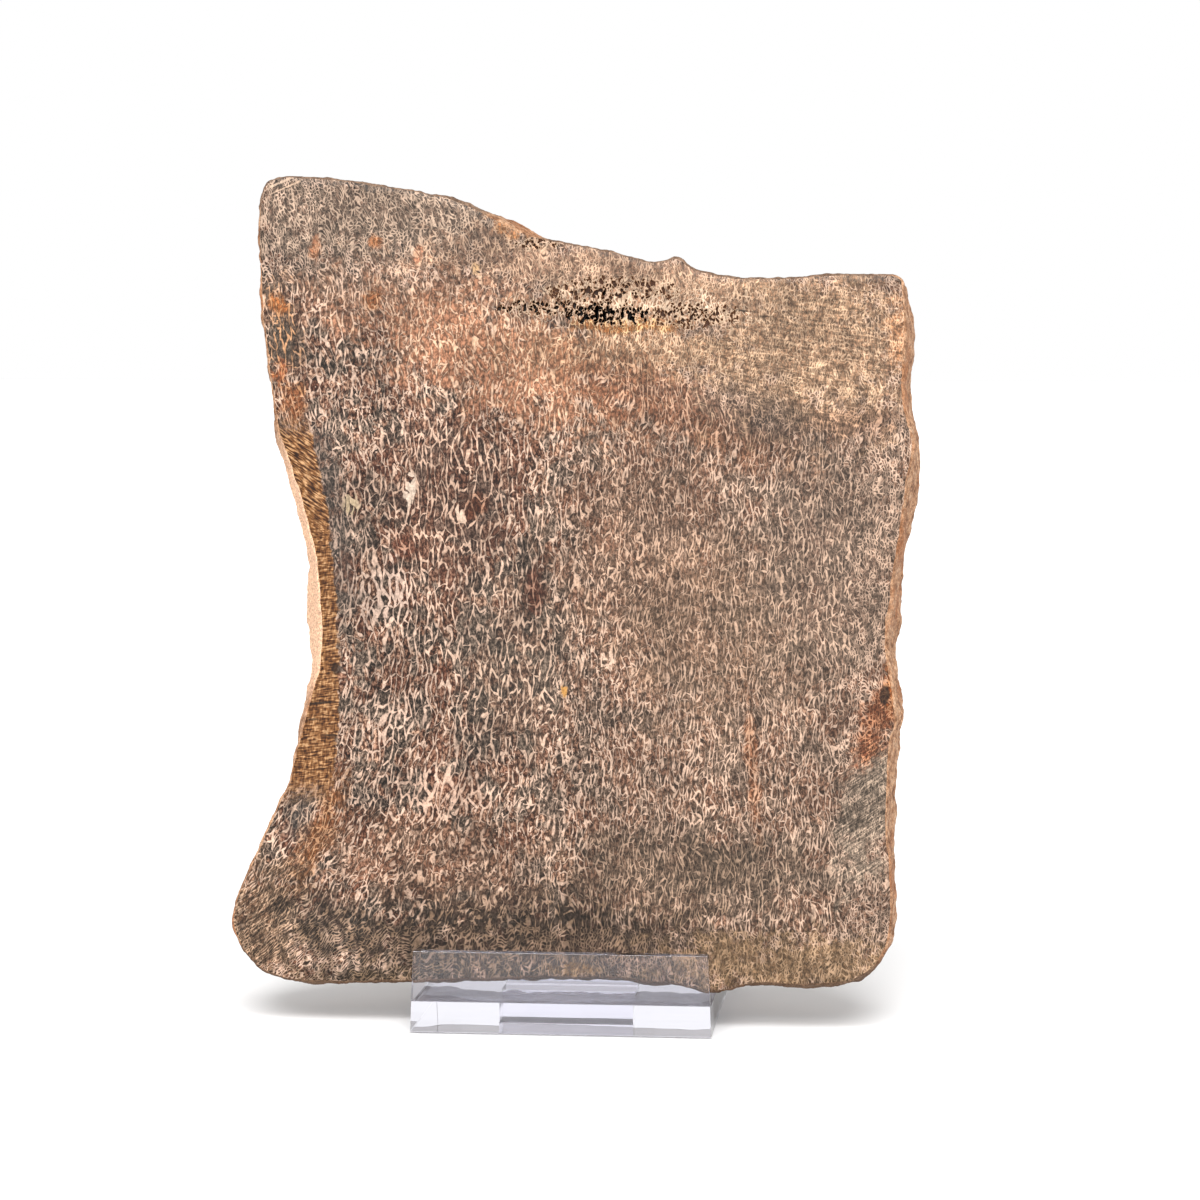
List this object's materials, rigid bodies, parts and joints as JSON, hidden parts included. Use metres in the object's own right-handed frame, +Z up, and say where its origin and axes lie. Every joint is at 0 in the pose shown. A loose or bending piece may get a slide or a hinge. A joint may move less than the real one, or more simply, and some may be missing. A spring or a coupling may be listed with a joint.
{
  "type": "polished fossil dinosaur bone",
  "caption": "Sawn and polished slab of petrified bone with broken edges, leaning back on a small clear display stand.",
  "frame": {"origin": "on the surface that the stand rests on, under the middle of the whole object's bounding box", "axes": "+Z up, the longest extent; +X to the right across the polished face; -Y towards the viewer of the polished face, the shortest extent being along Y"},
  "size_m": [0.1162, 0.047, 0.1435],
  "materials": {
    "fossil_bone": "polished face, rough broken edges",
    "clear_acrylic": "clear moulded plastic, glossy"
  },
  "bodies": {
    "root": {"bone_slab": "fossil_bone", "display_stand": "clear_acrylic"}
  },
  "joints": []
}
